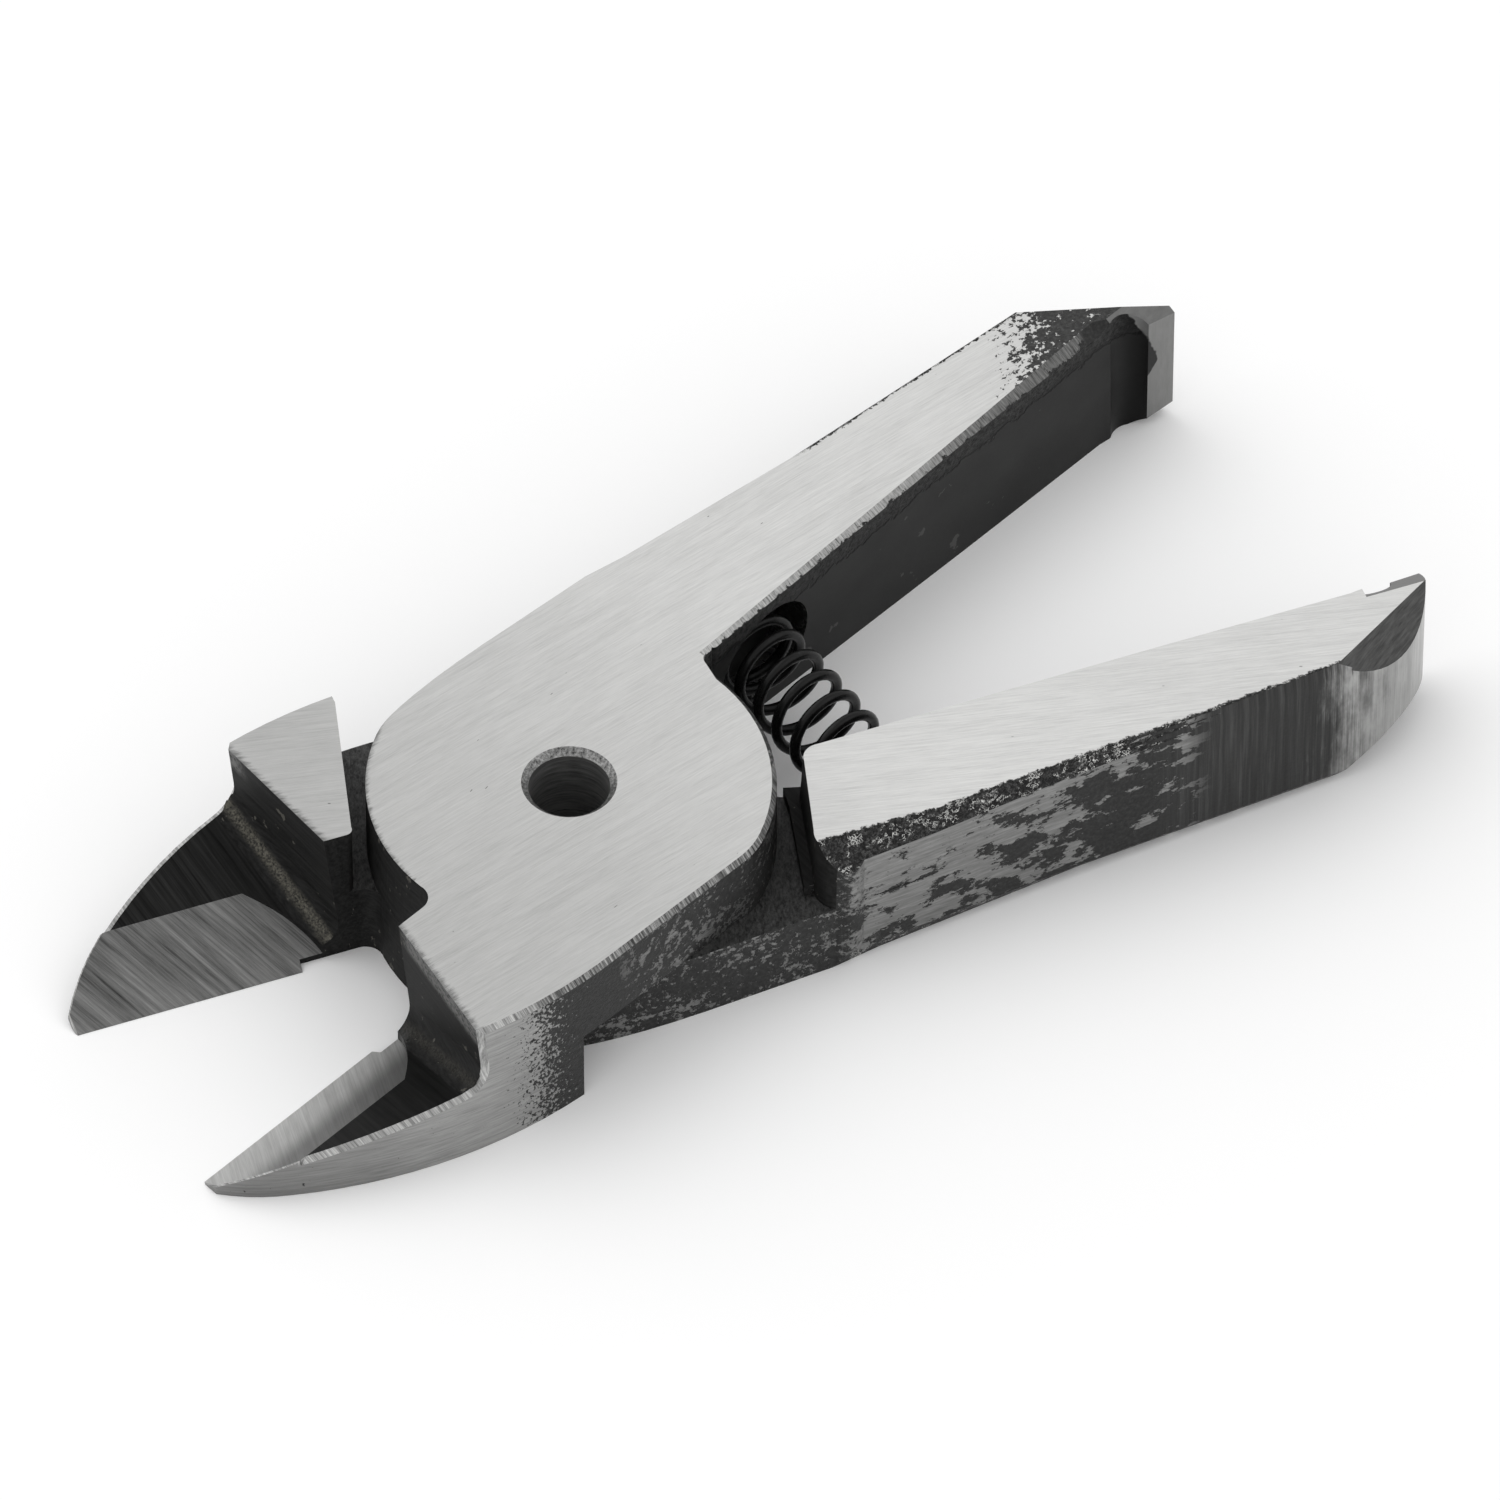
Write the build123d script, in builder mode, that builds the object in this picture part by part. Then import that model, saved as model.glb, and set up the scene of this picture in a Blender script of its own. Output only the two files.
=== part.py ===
from build123d import *
import math
import os

os.makedirs("parts", exist_ok=True)

# ---------------------------------------------------------------- driving dimensions (mm, degrees)
# Whole tool
thickness = 10.44          # across both ground faces
half = thickness / 2
lap_gap = 0.04             # running clearance between the two lapped discs
opening_angle = 25.75      # between the cutting edges in the relaxed, spring-open state
tilt = opening_angle / 2

# Pivot
bore_radius = 2.5
bore_chamfer = 0.43
disc_radius = 12.38        # edge of the lap disc on the notch side
heel_radius = 12.62        # edge of the lap disc on the spring side

# Jaw
jaw_tip = -32.0            # end of the cutting edge
edge_end = -17.4           # the cutting edge stops here and a relief step follows
relief = 0.7
bevel_slope = 0.608        # ground bevel, rises 31.3 deg from the cutting edge
milled_base = 0.74         # milled back of the jaw: height above the flat face at the cutting line ...
milled_slope = 0.456       # ... and its rise towards the rim
shoulder_lean = 0.31       # plan lean of the shoulder wall across the jaw
shoulder_x = -15.37        # where that wall would cross the cutting line
shoulder_undercut = 1.1    # how far the wall falls back over the full thickness
shoulder_fillet = 1.7

jaw_back = [(-8.0, -11.88), (-20.2, -9.65), (-29.0, -4.6)]   # arc of the jaw's outer side
rim_chamfer = 0.3

# Handle
outer_edge = [(15.0, 10.95), (20.0, 10.45), (28.0, 9.6), (38.0, 8.65), (47.6, 7.72)]
end_shoulder = (53.2, 5.66)  # middle of the rounded end
tail_tip = (55.35, 0.92)   # inner corner of the tail's end
pad_start = (53.3, 1.22)   # the flat pad on the tail's inner side begins here
wall_end = 51.1            # the wall turns into the hollow in front of the pad here
lap_pad_drop = 1.4         # the pad stops this far below the lap face ...
upper_far_drop = 1.05      # ... and below the far face, where the two blades are ground differently
lower_far_drop = 1.6
pad_runout = (51.0, 52.5)  # the slopes down to the pad start on a hollow curve between these ...
pad_bevel_width = 1.3      # ... and are this much wider than deep
wall_edge = [(13.2, 1.33, 0.3), (40.0, 2.2, 0.5), (50.2, 2.48, 0.7), (51.2, 2.5, 0.05)]
lap_edge = [(12.5, 11.2, 0.02, 0.1), (16.0, 10.9, 0.4, 1.0), (30.0, 9.4, 0.75, 1.0),
            (48.2, 7.7, 0.55, 0.8)]
far_edge = [(12.0, 11.3, 1.3, 1.8), (20.0, 10.45, 0.45, 1.6), (48.2, 7.7, 0.25, 1.1)]
facet_angle = 50           # fall of the slanted facets on the end, below each ground face
lap_facet = [(48.0, 6.8), (53.6, 1.7)]   # line where the facet leaves the lap face ...
far_facet = [(48.0, 7.1), (54.8, 3.0)]   # ... and the far face

# Spring seat and spring
seat_x = 19.4
seat_radius = 3.85
seat_floor = 4.6
wire_radius = 0.35
coil_radius = 2.55         # to the wire's centre
spring_half = 7.1          # half the length between the end wires' centres
spring_pitch = 2.03
spring_x = 18.0


# ---------------------------------------------------------------- shared construction
def blade_frame(angle, flipped):
    """A blade's own frame: X along its cutting line, Z out of the face its lap disc is on."""
    x_dir = (math.cos(math.radians(angle)), math.sin(math.radians(angle)), 0)
    return Plane(origin=(0, 0, 0), x_dir=x_dir, z_dir=(0, 0, -1 if flipped else 1))


def cross_section(frame, x, y, z):
    """Plane across the blade at a point of its own frame: X is the blade's Y, Y is the blade's Z or -Z."""
    return Plane(frame.from_local_coords((x, y, z)), x_dir=frame.y_dir, z_dir=frame.x_dir)


def lap_disc(frame):
    """Half-thickness disc round the pivot, running out into the jaw and the handle."""
    with BuildPart() as disc:
        with BuildSketch(frame.offset(lap_gap / 2)):
            with BuildLine():
                Line((-17.0, -relief), (-13.5, -relief))
                TangentArc((-13.5, -relief), (-12.36, 0.6), tangent=(1, 0))
                RadiusArc((-12.36, 0.6), (-5.2, 11.24), disc_radius)
                Spline((-5.2, 11.24), (-2.0, 11.82), (8.0, 11.45), (15.0, 10.95), (20.0, 10.45),
                       tangents=[(1, 0.46), (1, -0.13)])
                Polyline((20.0, 10.45), (20.0, 2.6), (15.5, 2.4), (14.0, 1.4), (13.5, 1.35))
                ThreePointArc((13.5, 1.35), (13.05, 1.15), (12.8, 0.7))
                Line((12.8, 0.7), (12.61, 0.2))
                heel = RadiusArc((12.61, 0.2), (5.0, -11.59), heel_radius)
                TangentArc((5.0, -11.59), (2.4, -12.05), tangent=heel % 1)
                Line((2.4, -12.05), jaw_back[0])
                ThreePointArc(*jaw_back)
                Line(jaw_back[-1], (-17.0, -relief))
            make_face()
        extrude(amount=half - lap_gap / 2)
    return disc.part


def jaw_block(frame):
    """Full-height jaw with its curved back and straight shoulder wall beside the other disc."""
    with BuildPart() as jaw:
        with BuildSketch(frame.offset(-half)):
            with BuildLine():
                Polyline((jaw_tip, 0), (edge_end, 0), (edge_end + 0.05, -relief), (-8.0, -relief),
                         jaw_back[0])
                ThreePointArc(*jaw_back)
                ThreePointArc(jaw_back[-1], (-30.65, -3.1), (jaw_tip - 0.1, -1.2))
                Line((jaw_tip - 0.1, -1.2), (jaw_tip, 0))
            make_face()
            # the straight shoulder wall, clear of the other blade's disc
            with BuildLine():
                Line((-14.15, 0), (-14.15, -relief))
                ThreePointArc((-14.15, -relief), (-13.8, -0.82), (-13.65, -1.2))
                Polyline((-13.65, -1.2), (-11.05, -11.2), (-11.05, -13), (-7, -13), (-7, 0), (-14.15, 0))
            make_face(mode=Mode.SUBTRACT)
        extrude(amount=thickness)
    return jaw.part


def milled_back(frame, flush):
    """Cutter for the sloping back of the jaw, stopped by the filleted shoulder wall."""
    up = -flush
    with BuildPart() as cutter:
        with BuildSketch(cross_section(frame, -40, 0, flush * half)):
            Polygon(
                (3, up * (milled_base - 3 * milled_slope)),
                (-16, up * (milled_base + 16 * milled_slope)),
                (-16, up * 12),
                (3, up * 12),
                align=None,
            )
        extrude(amount=35)
        for level, setback in ((flush * half, shoulder_undercut), (up * (half + 10), -shoulder_undercut)):
            with BuildSketch(frame.offset(level)):
                Polygon(
                    (shoulder_x + setback + 5 * shoulder_lean, 5),
                    (shoulder_x + setback - 18 * shoulder_lean, -18),
                    (-45, -18),
                    (-45, 5),
                    align=None,
                )
        loft(ruled=True, mode=Mode.INTERSECT)
        root = cutter.edges().sort_by_distance(
            frame.from_local_coords((shoulder_x + 0.75 * shoulder_undercut - 5 * shoulder_lean, -5,
                                     flush * half + up * (milled_base + 5 * milled_slope)))
        )[0]
        fillet(root, radius=shoulder_fillet)
    return cutter.part


def ground_bevel(frame, flush):
    """Cutter for the bevel behind the cutting edge, run out on a curve before the shoulder."""
    up = -flush
    with BuildPart() as cutter:
        with BuildSketch(cross_section(frame, -40, 0, flush * half)):
            Polygon(
                (1, -up * bevel_slope),
                (-6, up * 6 * bevel_slope),
                (-6, up * 7),
                (1, up * 7),
                align=None,
            )
        extrude(amount=30)
        with BuildSketch(frame.offset(-half - 3)):
            with BuildLine():
                Polyline((-21.5, -6.2), (-45, -6.2), (-45, 1), (-15.7, 1), (-15.7, -0.3))
                Spline((-15.7, -0.3), (-16.5, -1.9), (-18.3, -3.9), (-21.5, -6.2))
            make_face()
        extrude(amount=thickness + 10, mode=Mode.INTERSECT)
    return cutter.part


def handle_block(frame):
    """Full-height handle: inner wall with forging draft, curved outer side, rounded end with the pad."""
    sections = [(-half, 2.45, 2.33, 2.35, 2.24, 2.47, 1.0), (half, 1.35, 2.2, 2.5, 2.46, 2.38, 0.45)]
    with BuildPart() as handle:
        for height, near, middle, far, lip, hollow, corner in sections:
            with BuildSketch(frame.offset(height)):
                with BuildLine():
                    Spline(*outer_edge)
                    ThreePointArc(outer_edge[-1], end_shoulder, tail_tip)
                    Line(tail_tip, pad_start)
                    ThreePointArc(pad_start, (52.3, hollow), (wall_end, lip))
                    Polyline((wall_end, lip), (50.2, far), (38.0, middle), (14.0 + 1.15 * corner, near))
                    ThreePointArc((14.0 + 1.15 * corner, near), (14.0 + 0.3 * corner, near + 0.28 * corner),
                                  (13.95, near + corner))
                    Line((13.95, near + corner), (12.45, 9.0))
                    ThreePointArc((12.45, 9.0), (12.6, 10.6), outer_edge[0])
                make_face()
        loft(ruled=True)
    return handle.part


def edge_chamfer(frame, side, stations):
    """Cutter for the long tapering chamfer between a ground face and the handle's outer side.

    Each station is the place along the handle, the side's distance out, and the chamfer's width and depth.
    """
    with BuildPart() as cutter:
        for x, y, width, depth in stations:
            rise = side * depth
            with BuildSketch(cross_section(frame, x, y, side * half)):
                Polygon((-2 * width, rise), (2 * width, -3 * rise), (3, rise), align=None)
        loft(ruled=True)
    return cutter.part


def pad_bevel(frame, side, drop):
    """Cutter for the slope from a ground face down to the pad, which begins on a hollow curve."""
    begin, level = pad_runout
    with BuildPart() as cutter:
        with BuildSketch(cross_section(frame, begin - 1, tail_tip[1], side * half)):
            width = pad_bevel_width * drop
            Polygon((-width, -side * 2 * drop), (2 * width, side * drop), (-width, side * drop), align=None)
        extrude(amount=8)
        lengthwise = Plane(frame.from_local_coords((0, -3, 0)), x_dir=frame.x_dir, z_dir=-frame.y_dir)
        with BuildSketch(lengthwise):
            with BuildLine():
                outside = side * (half + drop)
                floor = side * (half - 2 * drop)
                hollow = (begin + 0.25 * (level - begin), side * (half - 0.75 * drop))
                foot = (level, side * (half - 1.3 * drop))
                Line((begin, outside), (begin, side * half))
                ThreePointArc((begin, side * half), hollow, foot)
                Polyline(foot, (level + 0.5, floor), (57, floor), (57, outside), (begin, outside))
            make_face()
        extrude(amount=-12, mode=Mode.INTERSECT)
    return cutter.part


def end_facet(frame, side, start, finish):
    """Cutter for the slanted facet on the rounded end, below the ground face on `side`."""
    length = math.hypot(finish[0] - start[0], finish[1] - start[1])
    along = Vector((finish[0] - start[0]) / length, (finish[1] - start[1]) / length, 0)
    outward = Vector(-along.Y, along.X, 0)
    origin = frame.from_local_coords((start[0] - 12 * along.X, start[1] - 12 * along.Y, side * half))
    station = Plane(
        origin,
        x_dir=frame.from_local_coords(outward),
        z_dir=frame.from_local_coords(along),
    )
    fall = math.tan(math.radians(facet_angle))
    up = side * (1 if station.y_dir.dot(frame.z_dir) > 0 else -1)
    with BuildPart() as cutter:
        with BuildSketch(station):
            Polygon((-0.8, up * 0.8 * fall), (8, -up * 8 * fall), (8, up * 0.8 * fall), align=None)
        extrude(amount=length + 24)
    return cutter.part


def wall_ledge(frame):
    """Low ledge left along the foot of the handle's recess wall."""
    with BuildPart() as ledge:
        with BuildSketch(frame.offset(-0.8)):
            Polygon((11.7, 9.4), (13.2, 2.9), (13.4, 1.3), (15.0, 1.8), (14.0, 9.4), align=None)
        extrude(amount=0.9)
    return ledge.part


def lap_rim(blade, frame):
    """The edges of the lap face along the disc's jaw side."""
    def on_rim(edge):
        place = frame.to_local_coords(edge.center())
        return abs(place.Z - half) < 0.01 and place.Y < -10 and -19 < place.X < 5

    return blade.edges().filter_by(on_rim)


def wall_chamfer(frame):
    """Cutter for the rough chamfer, widening to the tail, between the lap face and the inner wall."""
    with BuildPart() as cutter:
        for x, y, width in wall_edge:
            with BuildSketch(cross_section(frame, x, y, half)):
                Polygon((2 * width, width), (-2 * width, -3 * width), (-2, width), align=None)
        loft(ruled=True)
    return cutter.part


def forged_blade(frame, flush, far_drop):
    """One whole blade. Its cutting edge lies in the ground face at `flush` along the frame's Z."""
    with BuildPart() as blade:
        add([lap_disc(frame), jaw_block(frame), handle_block(frame), wall_ledge(frame)])
        add([milled_back(frame, flush), ground_bevel(frame, flush)], mode=Mode.SUBTRACT)
        add([edge_chamfer(frame, 1, lap_edge), edge_chamfer(frame, -1, far_edge)], mode=Mode.SUBTRACT)
        add(wall_chamfer(frame), mode=Mode.SUBTRACT)
        add([pad_bevel(frame, 1, lap_pad_drop), pad_bevel(frame, -1, far_drop)], mode=Mode.SUBTRACT)
        add([end_facet(frame, 1, *lap_facet), end_facet(frame, -1, *far_facet)], mode=Mode.SUBTRACT)
        # bolt bore with its chamfer
        with BuildSketch(frame):
            Circle(bore_radius)
        extrude(amount=half, mode=Mode.SUBTRACT)
        with BuildSketch(frame.offset(half - bore_chamfer)):
            Circle(bore_radius)
        with BuildSketch(frame.offset(half)):
            Circle(bore_radius + bore_chamfer)
        loft(mode=Mode.SUBTRACT)
        # blind seat for the spring
        with BuildSketch(Plane(frame.from_local_coords((seat_x, seat_floor, 0)), z_dir=-frame.y_dir)):
            Circle(seat_radius)
        extrude(amount=seat_floor, mode=Mode.SUBTRACT)
        chamfer(lap_rim(blade, frame), rim_chamfer)
    return blade.part


# ---------------------------------------------------------------- blade with its disc on top
with BuildPart() as blade_upper:
    add(forged_blade(blade_frame(tilt, flipped=False), -1, upper_far_drop))
blade_upper.part.label = "blade_upper"
export_step(blade_upper.part, "parts/blade_upper.step")

# ---------------------------------------------------------------- blade with its disc underneath
with BuildPart() as blade_lower:
    add(forged_blade(blade_frame(-tilt, flipped=True), 1, lower_far_drop))
blade_lower.part.label = "blade_lower"
export_step(blade_lower.part, "parts/blade_lower.step")

# ---------------------------------------------------------------- return spring
with BuildPart() as return_spring:
    with BuildLine():
        coil = Helix(
            pitch=spring_pitch,
            height=2 * spring_half,
            radius=coil_radius,
            center=(spring_x, -spring_half, 0),
            direction=(0, 1, 0),
        )
    with BuildSketch(Plane(coil @ 0, z_dir=coil % 0)):
        Circle(wire_radius)
    sweep()
return_spring.part.label = "return_spring"
export_step(return_spring.part, "parts/return_spring.step")
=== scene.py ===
import bmesh
import bpy
import math
from mathutils import Matrix, Vector


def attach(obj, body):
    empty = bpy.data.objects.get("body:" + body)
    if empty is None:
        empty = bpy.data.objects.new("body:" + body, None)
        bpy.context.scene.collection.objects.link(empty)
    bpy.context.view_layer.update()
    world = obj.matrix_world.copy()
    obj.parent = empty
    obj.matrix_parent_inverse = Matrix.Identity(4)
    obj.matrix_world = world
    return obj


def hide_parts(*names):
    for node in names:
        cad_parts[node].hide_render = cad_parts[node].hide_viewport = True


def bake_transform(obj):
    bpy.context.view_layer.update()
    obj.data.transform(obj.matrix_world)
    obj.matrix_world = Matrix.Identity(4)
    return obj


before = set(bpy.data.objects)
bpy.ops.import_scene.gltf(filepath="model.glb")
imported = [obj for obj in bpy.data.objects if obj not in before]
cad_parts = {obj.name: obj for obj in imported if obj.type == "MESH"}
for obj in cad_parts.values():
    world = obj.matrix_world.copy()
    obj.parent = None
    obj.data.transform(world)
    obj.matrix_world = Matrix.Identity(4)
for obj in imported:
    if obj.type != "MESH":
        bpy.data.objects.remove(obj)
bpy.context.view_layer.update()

TO_MM = 1000                  # millimetres in a metre
MM = 1 / TO_MM

# Each blade's own frame: X along its cutting line towards the tail, Y outwards across its handle,
# Z out of the face that its lap disc is on.
TILT = math.radians(12.875)   # each blade's turn from the open tool's bisector
UPPER = Matrix.Rotation(TILT, 4, "Z")
LOWER = Matrix.Rotation(-TILT, 4, "Z") @ Matrix.Rotation(math.pi, 4, "X")
OWN_FRAMES = {"upper": UPPER, "lower": LOWER}

# Landmarks of a blade in its own frame, in millimetres. The places are along X.
HALF = 5.22                   # half the thickness across the ground faces
BORE_EDGE_RADIUS = 2.6        # just outside the bore's wall
BORE_MOUTH_RADIUS = 3.1       # just outside the bore's chamfer
DISC_RADIUS = 12.38           # the lap disc
RIM_RADIUS = 12.6             # just outside the lap disc's rim
TIP = -29.5                   # in front of this: the jaw's blunt tip
JAW = -12.0                   # in front of this: the jaw
MOUTH = -9.0                  # in front of this: the part of the disc's rim that faces the mouth
JAW_ROOT = -8.0               # in front of this: the jaw's outer side where it joins the disc
HANDLE = 13.0                 # behind this: the handle's inner wall
FACETS = 46.0                 # behind this: the slanted facets of the tail
HOLLOW = 51.0                 # behind this: the hollow before the pad
HOLLOW_BACK = 52.0            # behind this: the hollow's far side
PAD_START = 53.6              # behind this: the pad
RECESS = (9.0, 14.5)          # between these: the step behind the other blade's disc
FORGED = 11.0                 # behind this: forged chamfers with rough scale
RIM_SIDE = -8.0               # Y; outside this: the chamfer along the disc and the jaw

# Straight edges of a blade's faces in its own frame, as (slope, offset): Y = slope * X + offset.
LAP_FACE_EDGES = ((-0.132, 12.61), (-0.0824, 11.12))   # handle's outer edge, nearer the pivot and farther
FAR_FACE_EDGE = (-0.0904, 11.81)                       # the same on the far face
FAR_FACE_LIMIT = 10.0                                  # Y where the far face is held back near the disc
SHOULDER_EDGE = (0.31, -15.37)                         # top of the shoulder: X = slope * Y + offset

# The return spring, in millimetres.
SPRING_X = 18.0               # along the tool to the coil's axis
COIL_RADIUS = 2.55            # to the wire's middle
WIRE_RADIUS = 0.35
SPRING_HALF = 7.1             # from the middle to each end wire's middle
SPRING_ACTIVE = 6.09          # ... and to where the end turns close up
SPRING_TURNS = 6              # open turns; one more is closed up at each end
SPRING_PHASE = math.radians(-100.4)   # round the axis at the coil's middle
SPRING_HAND = -1              # sense of winding
STEPS_PER_TURN = 40
WIRE_CORNERS = 16

# Mesh work.
WELD = 2e-7                   # m, between corners of the CAD mesh that are one
CHAMFER_WELD = 2e-6           # m, between corners that the chamfers leave together
SAME_PLANE = math.radians(0.2)
CORNER_TURN = 0.4             # radians, the least turn of an edge that is chamfered
BACK_CHAMFER = 0.4            # mm
EDGE_CHAMFER = 0.1            # mm
LARGE_FACE = 4 * MM * MM      # m2
FLAT_TURN = 0.5               # degrees, the most between two faces of one flat surface
ROUND_TURN = 18               # degrees, the most between two faces of one round surface

WARMTH = 0.985                # blue against red and green in every grey
FLOOR_SIZE = 3.0              # m
FLOOR_GAP = 0.02              # mm below the tool
SCENE_MIDDLE = (0.01, 0, 0)
CAMERA_PLACE = (-0.4400, -0.6794, 0.8889)
CAMERA_TARGET = (0.01058, -0.00392, 0.00522)
CAMERA_LENS = 473.7           # mm on a 36 mm sensor
WORLD_STRENGTH = 0.86


# ---------------------------------------------------------------- node helpers
class Nodes:
    """Short calls for building a material's node tree.

    x, y and z are millimetres, in the own frame of the blade that the material's name starts with. Any
    other material uses the shared frame.
    """

    def __init__(self, name):
        self.material = bpy.data.materials.new(name)
        self.material.use_nodes = True
        self.tree = self.material.node_tree
        self.tree.nodes.clear()
        self.output = self.new("OutputMaterial")
        own_frame = OWN_FRAMES.get(name.split("_")[0], Matrix())
        own = self.new("Mapping")
        own.inputs["Rotation"].default_value = own_frame.inverted().to_euler("XYZ")
        self.link(self.new("TexCoord").outputs["Object"], own.inputs["Vector"])
        self.place = own.outputs[0]
        split = self.new("SeparateXYZ")
        self.link(self.place, split.inputs[0])
        self.x, self.y, self.z = (self.mul(axis, TO_MM) for axis in split.outputs)

    def new(self, kind, **settings):
        node = self.tree.nodes.new("ShaderNode" + kind)
        for setting, value in settings.items():
            setattr(node, setting, value)
        return node

    def link(self, source, socket):
        """Joins an output to an input, or sets a plain value."""
        if isinstance(source, bpy.types.NodeSocket):
            self.tree.links.new(source, socket)
        else:
            socket.default_value = source

    def level(self):
        """1 on a face that lies flat, 0 on an upright one."""
        turned = self.new("SeparateXYZ")
        self.link(self.new("NewGeometry").outputs["Normal"], turned.inputs[0])
        return self.math("ABSOLUTE", turned.outputs[2])

    def math(self, operation, a, b=0.0, c=0.0):
        node = self.new("Math", operation=operation)
        for value, socket in zip((a, b, c), node.inputs):
            self.link(value, socket)
        return node.outputs[0]

    def add(self, a, b):
        return self.math("ADD", a, b)

    def less(self, a, b):
        return self.math("SUBTRACT", a, b)

    def mul(self, a, b):
        return self.math("MULTIPLY", a, b)

    def most(self, a, b):
        return self.math("MAXIMUM", a, b)

    def least(self, a, b):
        return self.math("MINIMUM", a, b)

    def swing(self, noise, amount):
        """A noise as a shift of up to half the amount either way."""
        return self.mul(self.add(noise, -0.5), amount)

    def line(self, slope, offset):
        """The Y of a straight edge at this point's X."""
        return self.add(self.mul(self.x, slope), offset)

    def ramp(self, value, low, high, smooth=True):
        """0 on `low`'s side of the two limits and 1 on `high`'s, whichever of them is the larger."""
        node = self.new("MapRange", interpolation_type="SMOOTHSTEP" if smooth else "LINEAR")
        self.link(value, node.inputs["Value"])
        rising = low <= high
        node.inputs["From Min"].default_value = min(low, high)
        node.inputs["From Max"].default_value = max(low, high)
        node.inputs["To Min"].default_value = 0 if rising else 1
        node.inputs["To Max"].default_value = 1 if rising else 0
        return node.outputs[0]

    def noise(self, scale, detail=3.0, roughness=0.55, turn=0.0, offset=0.0):
        """Noise with `scale` (X, Y, Z) features per millimetre, in axes turned by `turn` degrees."""
        node = self.new("TexNoise")
        node.inputs["Scale"].default_value = 1.0
        node.inputs["Detail"].default_value = detail
        node.inputs["Roughness"].default_value = roughness
        self.link(self.stretched(scale, turn, offset), node.inputs["Vector"])
        return node.outputs["Fac"]

    def stretched(self, scale, turn=0.0, offset=0.0):
        """The place, turned and scaled for a texture."""
        turned = self.new("Mapping", vector_type="TEXTURE")
        turned.inputs["Rotation"].default_value = (0, 0, math.radians(turn))
        self.link(self.place, turned.inputs["Vector"])
        stretched = self.new("Mapping")
        stretched.inputs["Location"].default_value = (offset, offset, offset)
        stretched.inputs["Scale"].default_value = [TO_MM * s for s in scale]
        self.link(turned.outputs[0], stretched.inputs["Vector"])
        return stretched.outputs[0]

    def crystals(self, scale, offset=0.0):
        """Cells, `scale` to the millimetre: the distance to their edges, and a random number for each."""
        found = []
        for feature, output in (("DISTANCE_TO_EDGE", "Distance"), ("F1", "Color")):
            node = self.new("TexVoronoi", feature=feature)
            node.inputs["Scale"].default_value = 1.0
            self.link(self.stretched((scale, scale, scale), offset=offset), node.inputs["Vector"])
            found.append(node.outputs[output])
        return found

    def mix(self, factor, a, b):
        """Mix of two numbers or sockets."""
        node = self.new("Mix", data_type="FLOAT")
        for value, socket in zip((factor, a, b), (0, 2, 3)):
            self.link(value, node.inputs[socket])
        return node.outputs[0]

    def blend(self, factor, a, b):
        """Mix of two colours."""
        node = self.new("Mix", data_type="RGBA")
        for value, socket in zip((factor, a, b), (0, 6, 7)):
            self.link(value, node.inputs[socket])
        return node.outputs[2]

    def colour(self, factor, stops):
        """Colour ramp of (place, grey) stops."""
        node = self.new("ValToRGB")
        self.link(factor, node.inputs[0])
        elements = node.color_ramp.elements
        while len(elements) < len(stops):
            elements.new(0.5)
        for element, (place, tone) in zip(elements, stops):
            element.position = place
            element.color = (tone, tone, tone * WARMTH, 1)
        return node.outputs[0]

    def scaled(self, colour, factor):
        """A colour made lighter or darker by a number."""
        node = self.new("VectorMath", operation="SCALE")
        self.link(colour, node.inputs[0])
        self.link(factor, node.inputs["Scale"])
        return node.outputs[0]

    def bump(self, height, depth, normal=None):
        """Bump of `depth` millimetres for a height of 0 to 1."""
        node = self.new("Bump")
        node.inputs["Strength"].default_value = 1.0
        node.inputs["Distance"].default_value = depth * MM
        self.link(height, node.inputs["Height"])
        if normal is not None:
            self.link(normal, node.inputs["Normal"])
        return node.outputs[0]

    def finish(self, colour, roughness, metallic, normal=None, specular=0.22):
        shader = self.new("BsdfPrincipled")
        self.link(colour, shader.inputs["Base Color"])
        self.link(roughness, shader.inputs["Roughness"])
        self.link(metallic, shader.inputs["Metallic"])
        shader.inputs["Specular IOR Level"].default_value = specular
        if normal is not None:
            self.link(normal, shader.inputs["Normal"])
        self.link(shader.outputs[0], self.output.inputs["Surface"])
        return self.material


# ---------------------------------------------------------------- materials
GROUND, SIDE, GRAIN, WALL, WALL_EDGE, BACK, BEVEL, SHOULDER = (
    "ground", "side", "grain", "wall", "wall_edge", "back", "bevel", "shoulder")
JAW_SIDE, RIM, PAD, PAD_SLOPE, FACET, BORE, BORE_EDGE, LAP = (
    "jaw_side", "rim", "pad", "pad_slope", "facet", "bore", "bore_edge", "lap")


def scale_skin(n):
    """Colour, roughness and relief of the black forging scale."""
    grain = n.noise((4.0, 4.0, 4.0), detail=4, roughness=0.65, offset=5.3)
    colour = n.colour(grain, [(0.3, 0.016), (0.5, 0.027), (0.72, 0.05)])
    return colour, n.mix(grain, 0.34, 0.55), grain


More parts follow.
